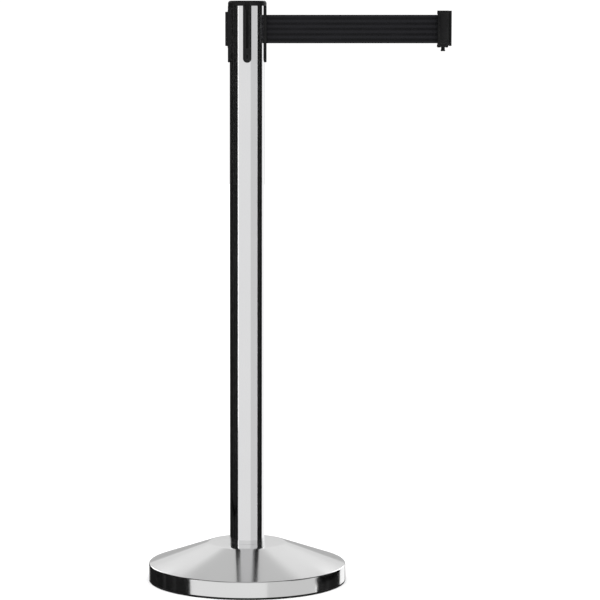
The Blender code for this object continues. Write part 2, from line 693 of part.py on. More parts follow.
def make_lock():
    """Knob on a stem that a spring holds down: pushed up, it frees the belt end from a receiver."""
    collar_low, collar_high, stem_top = 0.9720, 0.9735, 0.9885
    collar, grip = LOCK_ROOM_RADIUS - 0.0004, LOCK_GRIP_RADIUS
    neck_high, neck_low = END_DOME - 0.0024, KNOB_BOTTOM + 0.0032
    lock = turned(
        "lock_knob",
        [(0, stem_top), (LOCK_TIP_RADIUS, stem_top), (LOCK_TIP_RADIUS, collar_high), (collar, collar_high),
         (collar, collar_low), (LOCK_STEM_RADIUS, collar_low), (LOCK_STEM_RADIUS, neck_high + 0.0006),
         (LOCK_NECK_RADIUS, neck_high), (LOCK_NECK_RADIUS, neck_low), (grip, KNOB_BOTTOM + 0.0012),
         (grip - 0.0004, KNOB_BOTTOM), (0, KNOB_BOTTOM)],
        BLACK_PLASTIC, 20, centre=(END_X, 0))
    coil, turns, wire = 0.0028, 5, 0.00025
    spring = helix("lock_spring", (END_X, 0), coil, collar_high + GAP, LOCK_ROOM_TOP - GAP, turns, wire,
                   SPRING_STEEL)
    return lock, spring


# ---------------------------------------------------------------- assembly

clear_scene()
parts = new_collection("Retractable belt stanchion")
cutters = new_collection("Cutters")

make_base()
make_post()
make_cap()
for side, azimuth in (("front", -pi / 2), ("left", pi), ("rear", pi / 2)):
    make_receiver("receiver_" + side, azimuth)
make_outlet()
make_slot_clip()
make_housing()
make_axle()
make_spring()
make_spool()
make_brake()
end_pieces = make_end_halves() + [make_t_bar(), make_belt(), *make_lock()]
hang(end_pieces, "belt_end_slide", (END_X, 0, (BELT_LOW + BELT_HIGH) / 2))
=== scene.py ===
"""Looks of the retractable belt stanchion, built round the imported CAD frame. Units are metres."""

import json
from math import asin, atan2, cos, dist, hypot, pi, radians, sin, tan

import bmesh
import bpy
from mathutils import Matrix, Vector


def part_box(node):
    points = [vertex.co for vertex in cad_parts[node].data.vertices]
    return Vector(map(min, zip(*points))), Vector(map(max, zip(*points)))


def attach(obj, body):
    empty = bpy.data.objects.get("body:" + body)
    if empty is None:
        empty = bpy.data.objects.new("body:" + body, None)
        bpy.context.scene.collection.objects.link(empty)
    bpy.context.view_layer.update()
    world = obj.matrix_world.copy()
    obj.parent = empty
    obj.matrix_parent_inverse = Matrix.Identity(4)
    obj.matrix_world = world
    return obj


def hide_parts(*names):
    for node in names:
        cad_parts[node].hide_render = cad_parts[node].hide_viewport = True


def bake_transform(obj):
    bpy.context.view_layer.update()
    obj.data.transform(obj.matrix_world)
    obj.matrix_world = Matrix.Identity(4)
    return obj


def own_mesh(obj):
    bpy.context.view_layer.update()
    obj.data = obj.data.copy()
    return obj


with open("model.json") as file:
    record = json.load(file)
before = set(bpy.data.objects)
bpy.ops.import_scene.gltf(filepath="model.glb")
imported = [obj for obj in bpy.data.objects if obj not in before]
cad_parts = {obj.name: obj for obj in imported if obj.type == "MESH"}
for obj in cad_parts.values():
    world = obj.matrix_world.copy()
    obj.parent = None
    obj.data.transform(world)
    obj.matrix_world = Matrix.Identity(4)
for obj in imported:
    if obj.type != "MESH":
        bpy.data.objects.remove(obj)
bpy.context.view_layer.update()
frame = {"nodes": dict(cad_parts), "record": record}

GAP = 0.0003


# ---------------------------------------------------------------- places taken from the frame


def low(node):
    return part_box(node)[0]


def high(node):
    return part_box(node)[1]


def half_size(node, axis):
    return (high(node)[axis] - low(node)[axis]) / 2


HEIGHT = high("top_cap").z
CAP_RADIUS = high("top_cap").x
CAP_BOTTOM = high("belt_outlet").z + GAP / 8
TUBE_RADIUS = high("post_tube").x
TUBE_HIGH = high("post_tube").z
TUBE_WALL = 0.0015
BASE_RADIUS = high("base_cover").x
SEAT_TOP = high("base_cover").z
COVER_LOW = low("base_cover").z
PAD_HIGH = high("floor_pad").z
STRIP_INNER = low("belt_outlet").x
STRIP_OUTER = high("belt_outlet").x
STRIP_LOW = low("belt_outlet").z
STRIP_HIGH = high("belt_outlet").z
STRIP_WIDTH = 2 * high("belt_outlet").y
BELT_LOW = low("belt").z
BELT_HIGH = high("belt").z
PIN_X = (low("belt_guide_pin_2").x + high("belt_guide_pin_2").x) / 2
PIN_Y = (low("belt_guide_pin_2").y + high("belt_guide_pin_2").y) / 2
PIN_RADIUS = half_size("belt_guide_pin_2", 0)
ROLL_RADIUS = high("belt_roll").x
END_X = (low("belt_end_inset").x + high("belt_end_inset").x) / 2
END_HALF_DEPTH = high("belt_end_rear").y
END_HALF_WIDTH = high("belt_end_rear").x - END_X
END_TOP = high("belt_end_rear").z
END_LOW = low("belt_end_rear").z
BELT_WIDTH = BELT_HIGH - BELT_LOW
BELT_MIDDLE = (BELT_LOW + BELT_HIGH) / 2
BELT_THICKNESS = 0.0006
RIB_PITCH = 0.0094


# ---------------------------------------------------------------- node helpers


class Nodes:
    """Small wrapper that makes shader nodes and links them in one call."""

    def __init__(self, tree):
        self.tree = tree

    def add(self, kind, settings=None, **inputs):
        node = self.tree.nodes.new(kind)
        for name, value in (settings or {}).items():
            setattr(node, name, value)
        for name, value in inputs.items():
            self.put(node, name, value)
        return node

    def put(self, node, name, value):
        key = int(name[1:]) if name[0] == "i" and name[1:].isdigit() else name.replace("_", " ")
        socket = node.inputs[key]
        if isinstance(value, bpy.types.NodeSocket):
            self.tree.links.new(value, socket)
        else:
            socket.default_value = value

    def math(self, operation, a, b=0.0):
        return self.add("ShaderNodeMath", {"operation": operation}, i0=a, i1=b).outputs[0]

    def span(self, value, start, end):
        """0 before start, 1 after end, and smooth between them."""
        node = self.add("ShaderNodeMapRange", {"interpolation_type": "SMOOTHSTEP"},
                        Value=value, From_Min=start, From_Max=end)
        return node.outputs[0]

    def mix(self, share, a, b):
        node = self.add("ShaderNodeMix", {"data_type": "RGBA"})
        self.put(node, "i0", share)
        self.put(node, "i6", a)
        self.put(node, "i7", b)
        return node.outputs[2]

    def mix_value(self, share, a, b):
        node = self.add("ShaderNodeMix", {"data_type": "FLOAT"})
        self.put(node, "i0", share)
        self.put(node, "i2", a)
        self.put(node, "i3", b)
        return node.outputs[0]

    def noise(self, vector, scale, detail=3.0, rough=0.5):
        node = self.add("ShaderNodeTexNoise", None, Scale=scale, Detail=detail, Roughness=rough)
        self.put(node, "Vector", vector)
        return node.outputs[0]

    def bump(self, height, distance, strength):
        node = self.add("ShaderNodeBump", None, Strength=strength, Distance=distance)
        self.put(node, "Height", height)
        return node.outputs[0]

    def place(self):
        """Position on the piece in metres, and its x, y and z."""
        where = self.add("ShaderNodeTexCoord").outputs["Object"]
        parts = self.add("ShaderNodeSeparateXYZ")
        self.put(parts, "i0", where)
        return where, parts.outputs

    def stretched(self, vector, scale):
        node = self.add("ShaderNodeMapping")
        self.put(node, "Vector", vector)
        self.put(node, "Scale", scale)
        return node.outputs[0]


def grey(level):
    return (level, level, level, 1.0)


def new_material(name, metallic=0.0, **constants):
    made = bpy.data.materials.new(name)
    made.use_nodes = True
    nodes = Nodes(made.node_tree)
    shader = made.node_tree.nodes["Principled BSDF"]
    shader.inputs["Metallic"].default_value = metallic
    for socket, value in constants.items():
        shader.inputs[socket.replace("_", " ")].default_value = value
    return made, nodes, shader


# ---------------------------------------------------------------- materials


def polished_steel():
    """Mirror-polished tube: faint lengthwise polishing lines and patches of haze."""
    made, n, shader = new_material("polished_steel_look", 1.0)
    where, _ = n.place()
    lines = n.noise(n.stretched(where, (900, 900, 9)), 1.0, 2.0)
    haze = n.noise(where, 14.0, 4.0)
    n.put(shader, "Base_Color", n.mix(haze, (0.79, 0.79, 0.80, 1), (0.83, 0.83, 0.835, 1)))
    n.put(shader, "Roughness", n.mix_value(n.span(haze, 0.35, 0.75), 0.070, 0.105))
    n.put(shader, "Normal", n.bump(lines, 0.000003, 0.5))
    return made


def spun_steel():
    """Satin-polished spun sheet: fine rings round the post and a little uneven haze."""
    made, n, shader = new_material("spun_steel_look", 1.0)
    where, xyz = n.place()
    radius = n.math("SQRT", n.math("ADD", n.math("MULTIPLY", xyz[0], xyz[0]),
                                   n.math("MULTIPLY", xyz[1], xyz[1])))
    across = n.add("ShaderNodeCombineXYZ")
    n.put(across, "i0", n.math("MULTIPLY", radius, 2600.0))
    n.put(across, "i2", n.math("MULTIPLY", xyz[2], 2600.0))
    rings = n.noise(across.outputs[0], 1.0, 3.0, 0.6)
    haze = n.noise(where, 9.0, 4.0)
    n.put(shader, "Base_Color", n.mix(haze, (0.775, 0.775, 0.775, 1), (0.815, 0.815, 0.815, 1)))
    n.put(shader, "Roughness", n.mix_value(n.span(haze, 0.3, 0.8), 0.105, 0.135))
    n.put(shader, "Normal", n.bump(rings, 0.000004, 0.55))
    return made


def black_plastic():
    """Fine spark-eroded grain on a black moulding, a little smoother along its edges, where a painted
    highlight makes it a little greyer.
    """
    made, n, shader = new_material("black_plastic_look", 0.0, Specular_IOR_Level=0.18)
    where, _ = n.place()
    grain = n.noise(where, 5200.0, 2.0, 0.6)
    tone_and_highlight_patches = n.noise(where, 60.0, 4.0)
    soft = n.add("ShaderNodeBevel", {"samples": 6}, Radius=0.0013).outputs[0]
    sharp = n.add("ShaderNodeNewGeometry").outputs["Normal"]
    meet = n.add("ShaderNodeVectorMath", {"operation": "DOT_PRODUCT"}, i0=soft, i1=sharp).outputs["Value"]
    # Painted highlight: the base colour turns lighter along rounded edges, in patches, standing in for light
    # caught there; the edges are also a little smoother.
    edge = n.math("MULTIPLY", n.span(meet, 0.992, 0.90), n.span(tone_and_highlight_patches, 0.30, 0.55))
    body = n.mix(n.span(tone_and_highlight_patches, 0.4, 0.8), (0.0042, 0.0042, 0.0046, 1), (0.0070, 0.0070, 0.0075, 1))
    n.put(shader, "Base_Color", n.mix(n.math("MULTIPLY", edge, 0.8), body, (0.026, 0.026, 0.0265, 1)))
    n.put(shader, "Roughness", n.math("SUBTRACT", n.mix_value(n.span(tone_and_highlight_patches, 0.3, 0.7), 0.40, 0.52),
                                      n.math("MULTIPLY", edge, 0.10)))
    n.put(shader, "Normal", n.bump(grain, 0.00002, 0.35))
    return made


def black_rubber():
    made, n, shader = new_material("black_rubber_look", 0.0, Specular_IOR_Level=0.3)
    where, _ = n.place()
    mottle = n.noise(where, 90.0, 5.0)
    dust = n.noise(where, 900.0, 3.0, 0.7)
    n.put(shader, "Base_Color", n.mix(n.span(mottle, 0.4, 0.8), grey(0.006), grey(0.012)))
    n.put(shader, "Roughness", n.mix_value(mottle, 0.75, 0.92))
    n.put(shader, "Normal", n.bump(dust, 0.00005, 0.5))
    return made


def webbing():
    """Polyester webbing: lengthwise cords crossed by the weft, over broad ribs, with painted shade: darker
    in the grooves between the ribs and along its edges.
    """
    made, n, shader = new_material("webbing_look", 0.0, Specular_IOR_Level=0.12, Sheen_Weight=0.03,
                                   Sheen_Roughness=0.5)
    where, xyz = n.place()
    warp_pitch, weft_pitch = 0.00105, 0.00085
    warp = n.math("SINE", n.math("MULTIPLY", xyz[2], 2 * pi / warp_pitch))
    weft = n.math("SINE", n.math("MULTIPLY", xyz[0], 2 * pi / weft_pitch))
    over = n.math("MULTIPLY", warp, weft)
    fibres = n.noise(n.stretched(where, (900, 900, 5200)), 1.0, 2.0, 0.6)
    height = n.math("ADD", n.math("MULTIPLY", over, 0.5), n.math("MULTIPLY", fibres, 0.5))
    worn = n.noise(n.stretched(where, (14, 14, 60)), 1.0, 4.0)
    thread = n.span(over, -0.6, 0.8)
    off_middle = n.math("SUBTRACT", xyz[2], BELT_MIDDLE)
    # Painted shade: the colour is lighter on the ribs' crests and darker in the grooves between them.
    rib = n.span(n.math("COSINE", n.math("MULTIPLY", off_middle, 2 * pi / RIB_PITCH)), 0.8, -0.8)
    dark = n.mix(thread, (0.0024, 0.0024, 0.0030, 1), (0.0070, 0.0070, 0.0084, 1))
    ribbed = n.mix(n.math("MULTIPLY", rib, 0.54), dark, (0.0142, 0.0142, 0.0166, 1))
    # Painted shade: the colour darkens towards both edges of the belt, along the selvedges.
    from_edge = n.math("MINIMUM", n.math("SUBTRACT", xyz[2], BELT_LOW),
                       n.math("SUBTRACT", BELT_HIGH, xyz[2]))
    selvedge = n.span(from_edge, 0.0030, 0.0012)
    rubbed = n.mix(n.math("MULTIPLY", n.span(worn, 0.45, 0.8), 0.4), ribbed, (0.0100, 0.0100, 0.0122, 1))
    n.put(shader, "Base_Color", n.mix(n.math("MULTIPLY", selvedge, 0.3), rubbed, grey(0.0028)))
    n.put(shader, "Roughness", n.mix_value(thread, 0.88, 0.70))
    n.put(shader, "Normal", n.bump(height, 0.00012, 0.7))
    return made


def cast_iron():
    made, n, shader = new_material("cast_iron_look", 0.55)
    where, _ = n.place()
    sand = n.noise(where, 700.0, 4.0, 0.65)
    rust = n.noise(where, 35.0, 6.0)
    n.put(shader, "Base_Color", n.mix(n.span(rust, 0.55, 0.8), grey(0.045), (0.075, 0.045, 0.030, 1)))
    n.put(shader, "Roughness", n.mix_value(sand, 0.6, 0.9))
    n.put(shader, "Normal", n.bump(sand, 0.0004, 0.6))
    return made


def machined(name, colour, shade, roughness, pitch=0.00012):
    """Turned or plated metal with fine tool marks along Z."""
    made, n, shader = new_material(name, 1.0)
    where, xyz = n.place()
    marks = n.math("SINE", n.math("MULTIPLY", xyz[2], 2 * pi / pitch))
    cloud = n.noise(where, 160.0, 4.0)
    n.put(shader, "Base_Color", n.mix(cloud, colour, shade))
    n.put(shader, "Roughness", n.mix_value(cloud, roughness * 0.8, roughness * 1.3))
    n.put(shader, "Normal", n.bump(marks, 0.000006, 0.4))
    return made


def natural_nylon():
    made, n, shader = new_material("nylon_look", 0.0, Subsurface_Weight=0.08)
    where, _ = n.place()
    cloud = n.noise(where, 45.0, 3.0)
    fine = n.noise(where, 2500.0, 2.0)
    n.put(shader, "Base_Color", n.mix(cloud, (0.66, 0.64, 0.58, 1), (0.74, 0.72, 0.67, 1)))
    n.put(shader, "Roughness", n.mix_value(cloud, 0.38, 0.5))
    n.put(shader, "Normal", n.bump(fine, 0.00003, 0.3))
    return made


LOOKS = {
    "polished_steel": polished_steel(),
    "satin_steel": spun_steel(),
    "black_plastic": black_plastic(),
    "black_rubber": black_rubber(),
    "black_webbing": webbing(),
    "cast_iron": cast_iron(),
    "zinc_steel": machined("zinc_steel_look", (0.60, 0.61, 0.63, 1), (0.70, 0.70, 0.70, 1), 0.30),
    "spring_steel": machined("spring_steel_look", (0.17, 0.18, 0.22, 1), (0.24, 0.25, 0.27, 1), 0.28),
    "brass": machined("brass_look", (0.66, 0.48, 0.19, 1), (0.74, 0.57, 0.27, 1), 0.26),
    "nylon": natural_nylon(),
}


# ---------------------------------------------------------------- shape helpers


def fillet(corners, steps=8):
    """Outline through corners given as (u, v) or (u, v, radius); a radius rounds that corner."""
    points = []
    for i, corner in enumerate(corners):
        here = Vector(corner[:2])
        if len(corner) == 2:
            points.append(tuple(here))
            continue
        before = (Vector(corners[i - 1][:2]) - here).normalized()
        after = (Vector(corners[(i + 1) % len(corners)][:2]) - here).normalized()
        half = before.angle(after) / 2
        centre = here + (before + after).normalized() * corner[2] / sin(half)
        start = here + before * corner[2] / tan(half) - centre
        end = here + after * corner[2] / tan(half) - centre
        sweep = start.angle_signed(end)
        for k in range(steps + 1):
            points.append(tuple(centre + Matrix.Rotation(-sweep * k / steps, 2) @ start))
    return points


def add_piece(name, mesh):
    obj = bpy.data.objects.new(name, mesh)
    bpy.context.scene.collection.objects.link(obj)
    return obj


def piece_of(name, work):
    """Piece made of a finished bmesh, which is freed."""
    mesh = bpy.data.meshes.new(name)
    work.to_mesh(mesh)
    work.free()
    return add_piece(name, mesh)


def turned(name, profile, segments=96, ring=False, centre=(0, 0)):
    """Solid of revolution about a vertical line. The profile runs down its outer side."""
    mesh = bpy.data.meshes.new(name)
    edges = [(i, i + 1) for i in range(len(profile) - 1)]
    if ring:
        edges.append((len(profile) - 1, 0))
    mesh.from_pydata([(r, 0, z) for r, z in profile], edges, [])
    obj = add_piece(name, mesh)
    obj.location = (*centre, 0)
    screw = obj.modifiers.new("Turn", "SCREW")
    screw.angle = 2 * pi
    screw.steps = screw.render_steps = segments
    screw.use_merge_vertices = True
    screw.merge_threshold = 0.00001
    screw.use_smooth_shade = True
    return applied(obj)


def applied(obj):
    """The object with its modifiers applied and its transform in its mesh."""
    shape = obj.evaluated_get(bpy.context.evaluated_depsgraph_get())
    mesh = bpy.data.meshes.new_from_object(shape)
    mesh.transform(obj.matrix_world)
    mesh.name = obj.name
    old = obj.data
    obj.modifiers.clear()
    obj.data = mesh
    obj.matrix_world = Matrix.Identity(4)
    if old.users == 0:
        bpy.data.meshes.remove(old)
    return obj


def plate(name, outline, start, end, frame_of=Matrix.Identity(4)):
    """Flat outline, extruded from start to end along the frame's third axis."""
    work = bmesh.new()
    face = work.faces.new([work.verts.new((u, v, start)) for u, v in outline])
    made = bmesh.ops.extrude_face_region(work, geom=[face])
    raised = [v for v in made["geom"] if isinstance(v, bmesh.types.BMVert)]
    bmesh.ops.translate(work, vec=(0, 0, end - start), verts=raised)
    bmesh.ops.recalc_face_normals(work, faces=work.faces)
    piece = piece_of(name, work)
    piece.data.transform(frame_of)
    if frame_of.determinant() < 0:
        piece.data.flip_normals()
    return piece


def box(name, corner, opposite):
    work = bmesh.new()
    bmesh.ops.create_cube(work, size=1)
    corner, opposite = Vector(corner), Vector(opposite)
    bmesh.ops.scale(work, vec=opposite - corner, verts=work.verts)
    bmesh.ops.translate(work, vec=(corner + opposite) / 2, verts=work.verts)
    return piece_of(name, work)


def boolean(obj, tools, operation="DIFFERENCE", solver="EXACT"):
    """Cut obj by tools, or join them, and remove the tools."""
    for tool in tools:
        step = obj.modifiers.new("Boolean", "BOOLEAN")
        step.operation = operation
        step.solver = solver
        step.object = tool
        applied(obj)
        bpy.data.objects.remove(tool, do_unlink=True)
    return obj


def swept(name, work, rings):
    """Closed piece from rings of points: faces from each ring to the next, and a cap at each end."""
    count = len(rings[0])
    for near, far in zip(rings, rings[1:]):
        for k in range(count):
            work.faces.new((near[k], near[(k + 1) % count], far[(k + 1) % count], far[k]))
    work.faces.new(list(reversed(rings[0])))
    work.faces.new(rings[-1])
    bmesh.ops.recalc_face_normals(work, faces=work.faces)
    return piece_of(name, work)


def rounded(obj, width, segments=3, angle=30):
    step = obj.modifiers.new("Edges", "BEVEL")
    step.width = width
    step.segments = segments
    step.limit_method = "ANGLE"
    step.angle_limit = radians(angle)
    step.harden_normals = False
    return applied(obj)


def finish_piece(obj, look, body, *nodes, smooth=35):
    """Give a piece its material, its body and the CAD nodes it stands for."""
    obj.data.materials.clear()
    obj.data.materials.append(LOOKS[look])
    if smooth:
        obj.data.shade_smooth()
        obj.data.set_sharp_from_angle(angle=radians(smooth))
    if body:
        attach(obj, body)
    if nodes:
        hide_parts(*nodes)
    return obj


def facing(angle):
    """Frame whose outline's u runs across, v up and third axis out at this azimuth."""
    upright = Matrix(((0, 0, 1, 0), (1, 0, 0, 0), (0, 1, 0, 0), (0, 0, 0, 1)))
    return Matrix.Rotation(angle, 4, "Z") @ upright


def from_front(x=0.0):
    """Frame whose outline's u runs along +X, v up and third axis towards -Y."""
    return Matrix.Translation((x, 0, 0)) @ Matrix.Rotation(pi / 2, 4, "X")


def stadium(width, bottom, top, steps=24):
    """Upright strip outline, round at its lower end."""
    radius = width / 2
    points = [(radius, top), (-radius, top)]
    for i in range(steps + 1):
        angle = pi + pi * i / steps
        points.append((radius * cos(angle), bottom + radius + radius * sin(angle)))
    return points


def oval(centre, half_width, half_height, steps=32):
    return [(centre[0] + half_width * cos(2 * pi * k / steps),
             centre[1] + half_height * sin(2 * pi * k / steps)) for k in range(steps)]


# ---------------------------------------------------------------- base


def make_base():
    """Spun cover with a hemmed rim, over a rubber pad with three shallow rings underneath."""
    slope, seat_radius, seat_bend = radians(19.5), 0.070, 0.0160
    rim_top = SEAT_TOP - (BASE_RADIUS - seat_radius) * tan(slope)
    sheet, hem, bolt_hole = 0.0010, 0.0006, 0.0068
    outer = [(bolt_hole, SEAT_TOP), (seat_radius / 2, SEAT_TOP), (seat_radius, SEAT_TOP, seat_bend),
             (BASE_RADIUS, rim_top, 0.0028), (BASE_RADIUS, COVER_LOW + hem), (BASE_RADIUS - hem, COVER_LOW)]
    inner = [(BASE_RADIUS - sheet, COVER_LOW), (BASE_RADIUS - sheet, rim_top - sheet * 0.7, 0.0020),
             (seat_radius, SEAT_TOP - sheet, seat_bend), (bolt_hole, SEAT_TOP - sheet)]
    cover = turned("base_cover_sheet", fillet(outer + inner, 10), 256, ring=True)
    finish_piece(cover, "satin_steel", "root", "base_cover", smooth=40)

    edge, edge_round = high("floor_pad").x, 0.0006
    ring_width, ring_depth, flank = 0.006, 0.0009, 0.0008
    profile = [(0, PAD_HIGH), (edge, PAD_HIGH, edge_round), (edge, 0.0, edge_round)]
    for far in (0.166, 0.142, 0.118):
        near = far - ring_width
        profile += [(far, 0.0), (far - flank, ring_depth), (near + flank, ring_depth), (near, 0.0)]
    pad = turned("floor_pad_moulding", fillet(profile + [(0, 0.0)], 4), 160)
    finish_piece(pad, "black_rubber", "root", "floor_pad")


def make_tube():
    """Polished tube with chamfered ends, slotted at the top for the four strips."""
    inner, chamfer, foot = TUBE_RADIUS - TUBE_WALL, 0.0002, SEAT_TOP + 0.00003
    slot_inner, slot_outer = 0.0265, 0.040
    tube = turned("post_tube_polished",
                  [(inner + chamfer, TUBE_HIGH), (TUBE_RADIUS - chamfer, TUBE_HIGH),
                   (TUBE_RADIUS, TUBE_HIGH - chamfer), (TUBE_RADIUS, foot + chamfer / 2),
                   (TUBE_RADIUS - chamfer / 2, foot), (inner + chamfer, foot),
                   (inner, foot + chamfer), (inner, TUBE_HIGH - chamfer)], 192, ring=True)
    outline = stadium(STRIP_WIDTH + 2 * GAP, STRIP_LOW - GAP, HEIGHT, 32)
    slots = [plate(f"slot_{i}", outline, slot_inner, slot_outer, facing(i * pi / 2)) for i in range(4)]
    boolean(tube, slots)
    finish_piece(tube, "polished_steel", "root", "post_tube", smooth=30)


# ---------------------------------------------------------------- head

SIDES = (("front", -pi / 2), ("left", pi), ("rear", pi / 2))
CHANNEL_HALF = 0.0047
CHANNEL_LOW = 0.958
CHANNEL_INNER = 0.0274
LIP_INNER = 0.0319
MOUTH = 0.0050
LOCK_HOLE_Z = 0.9435


def make_cap():
    """Cap with a rounded rim, a hollow underside, a notch over each channel and two screw holes."""
    pocket, roof, lip = 0.0225, HEIGHT - 0.0030, 0.0007
    screw_x, screw_hole, screw_core = 0.0150, 0.0033, 0.0018
    skirt, skirt_low = STRIP_INNER - GAP, low("top_cap").z
    cap = turned("top_cap_moulding",
                 fillet([(0, HEIGHT), (CAP_RADIUS, HEIGHT, 0.0046), (CAP_RADIUS, CAP_BOTTOM, 0.0003),
                         (CAP_RADIUS - 0.0040, CAP_BOTTOM), (CAP_RADIUS - 0.0044, CAP_BOTTOM + lip),
                         (skirt, CAP_BOTTOM + lip), (skirt, skirt_low), (pocket, skirt_low), (pocket, roof),
                         (0, roof)], 12), 160)
    half = CHANNEL_HALF + 0.0002
    tools = []
    for side, angle in SIDES:
        outline = [(half, CAP_BOTTOM - 0.002), (half, HEIGHT + 0.002),
                   (-half, HEIGHT + 0.002), (-half, CAP_BOTTOM - 0.002)]
        tools.append(plate("notch_" + side, outline, CHANNEL_INNER - 0.0004, 0.040, facing(angle)))
    for side in (-1, 1):
        hole = [(0, HEIGHT + 0.0003), (screw_hole, HEIGHT + 0.0003), (screw_hole, HEIGHT - 0.0006),
                (screw_core, HEIGHT - 0.0020), (screw_core, roof - 0.001), (0, roof - 0.001)]
        tools.append(turned(f"screw_hole_{side}", hole, 32, centre=(side * screw_x, 0)))
    boolean(cap, tools)
    rounded(cap, 0.00025, 2, 50)
    finish_piece(cap, "black_plastic", "root", "top_cap")
    for number, side in ((1, -1), (2, 1)):
        node = f"cap_screw_{number}"
        make_screw(node + "_head", node, (side * screw_x, 0), "root")


def make_screw(name, node, centre, body, facing_frame=None):
    """Countersunk screw with a cross recess and a threaded shank, in the space of its CAD node."""
    bottom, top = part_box(node)
    size = top - bottom
    length = size.z if facing_frame is None else size.y
    head = size.x / 2
    shank = head * 0.50
    land, cone = head * 0.10, head * 0.56
    profile = [(0, length), (head * 0.96, length), (head, length - 0.0001), (head, length - land),
               (shank, length - cone)]
    pitch = shank * 0.45
    turns = int((length - cone - shank) / pitch)
    for i in range(turns):
        z = length - cone - pitch * i
        profile += [(shank, z - pitch * 0.35), (shank * 0.80, z - pitch * 0.85)]
    profile += [(shank * 0.80, shank * 0.6), (0, 0)]
    screw = turned(name, profile, 32)
    slots = []
    for turn in (0, pi / 2):
        arm, wide, deep = head * 0.62, head * 0.11, head * 0.34
        slot = box(f"{name}_slot_{turn:.0f}", (-arm, -wide, length - deep), (arm, wide, length + 0.001))
        slot.data.transform(Matrix.Rotation(turn + 0.4, 4, "Z"))
        slots.append(slot)
    boolean(screw, slots)
    if facing_frame is None:
        screw.data.transform(Matrix.Translation((*centre, bottom.z)))
    else:
        screw.data.transform(facing_frame)
    finish_piece(screw, "zinc_steel", body, node)


def strip_body(name, angle, outer_round=0.0009):
    outline = stadium(STRIP_WIDTH, STRIP_LOW, STRIP_HIGH)
    return rounded(plate(name, outline, STRIP_INNER, STRIP_OUTER, facing(angle)), outer_round, 4, 50)


def make_receiver(side, angle):
    """Strip with a T-shaped channel, beads along its mouth and a dished pocket for the lock."""
    past = STRIP_OUTER + 0.002
    strip = strip_body(f"receiver_{side}_moulding", angle)
    channel = [(CHANNEL_HALF, CHANNEL_LOW), (CHANNEL_HALF, HEIGHT), (-CHANNEL_HALF, HEIGHT),
               (-CHANNEL_HALF, CHANNEL_LOW)]
    flare_low = STRIP_HIGH - 0.0075
    flare = [(0.0043, flare_low), (CHANNEL_HALF, HEIGHT), (-CHANNEL_HALF, HEIGHT), (-0.0043, flare_low)]
    dish = oval((0, LOCK_HOLE_Z), 0.0036, 0.0056)
    tools = [
        plate("channel", channel, CHANNEL_INNER, LIP_INNER, facing(angle)),
        plate("mouth", stadium(MOUTH, CHANNEL_LOW - 0.002, HEIGHT, 16), LIP_INNER - 0.001, past,
              facing(angle)),
        plate("flare", fillet(flare, 4), LIP_INNER - 0.001, past, facing(angle)),
        plate("dish", dish, STRIP_OUTER - 0.0007, past, facing(angle)),
        plate("pocket", oval((0, LOCK_HOLE_Z), 0.0022, 0.0040), STRIP_OUTER - 0.0045, past, facing(angle)),
    ]
    bead, crown = MOUTH / 2 + 0.0009, 0.0007
    for way in (-1, 1):
        outline = [(STRIP_OUTER - 0.0003 + crown * sin(pi * k / 10), way * bead + crown * cos(pi * k / 10))
                   for k in range(11)]
        outline += [(STRIP_OUTER - 0.0010, way * bead - crown), (STRIP_OUTER - 0.0010, way * bead + crown)]
        rail = plate("rail", outline, CHANNEL_LOW + 0.0004, STRIP_HIGH - 0.0085,
                     Matrix.Rotation(angle, 4, "Z"))
        boolean(strip, [rail], "UNION")
    boolean(strip, tools)
    rounded(strip, 0.00022, 2, 50)
    finish_piece(strip, "black_plastic", "root", "receiver_" + side)


def make_outlet():
    """Strip that the belt leaves through: a tall slot with flared edges and a pin pocket behind."""
    strip = strip_body("belt_outlet_moulding", 0)
    pocket_end, wide, narrow, room = PIN_X + PIN_RADIUS + GAP, 0.0042, 0.0011, 0.0042
    flared = narrow + 0.0014
    half = [(STRIP_INNER - 0.002, wide), (pocket_end, wide), (pocket_end, narrow),
            (STRIP_OUTER - 0.0012, narrow), (STRIP_OUTER + 0.0008, flared), (0.040, flared)]
    outline = half + [(u, -v) for u, v in reversed(half)]
    slot = plate("slot", outline, BELT_LOW - room, BELT_HIGH + room)
    boolean(strip, [slot])
    rounded(strip, 0.0002, 2, 50)
    finish_piece(strip, "black_plastic", "root", "belt_outlet")


def make_slot_clip():
    """Plate on a T-shaped back, with a sloped lower end and four grip grooves across its face."""
    bottom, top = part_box("slot_clip")
    inner, outer = STRIP_OUTER + GAP, -bottom.x
    web, head, wide = 0.0022, 0.0045, top.y
    half = [(-top.x, head), (LIP_INNER - GAP, head), (LIP_INNER - GAP, web), (inner, web), (inner, wide),
            (outer, wide, 0.0012)]
    outline = fillet(half + [(corner[0], -corner[1], *corner[2:]) for corner in reversed(half)], 6)
    clip = plate("slot_clip_moulding", outline, bottom.z, top.z, Matrix.Rotation(pi, 4, "Z"))
    slope = plate("slope", [(-0.0420, bottom.z - 0.003), (-inner, bottom.z - 0.003),
                            (-inner, bottom.z), (-0.0420, bottom.z + 0.0012)],
                  -0.010, 0.010, from_front())
    first, pitch, groove, depth, reach = top.z - 0.0075, 0.0022, 0.0010, 0.0004, wide * 0.62
    grips = [box(f"grip_{i}", (-outer - 0.001, -reach, first - pitch * i),
                 (-outer + depth, reach, first + groove - pitch * i)) for i in range(4)]
    boolean(clip, [slope] + grips)
    rounded(clip, 0.0003, 2, 50)
    finish_piece(clip, "black_plastic", "root", "slot_clip")


# ---------------------------------------------------------------- belt

SELVEDGE_HEIGHT = 0.00012


def rib_height(share):
    """Surface height at a share of the belt's width: cords on broad ribs, and a selvedge at each edge."""
    cords, cord_height = 42, 0.000035
    ribs, rib_depth = BELT_WIDTH / RIB_PITCH, 0.000050
    selvedge_share, steepness = 0.035, 1.6
    selvedge = max(0.0, 1 - min(share, 1 - share) / selvedge_share)
    cord = cord_height * cos(2 * pi * cords * share)
    rib = -rib_depth * cos(2 * pi * ribs * (share - 0.5))
    return cord + rib + SELVEDGE_HEIGHT * min(1.0, selvedge * steepness)


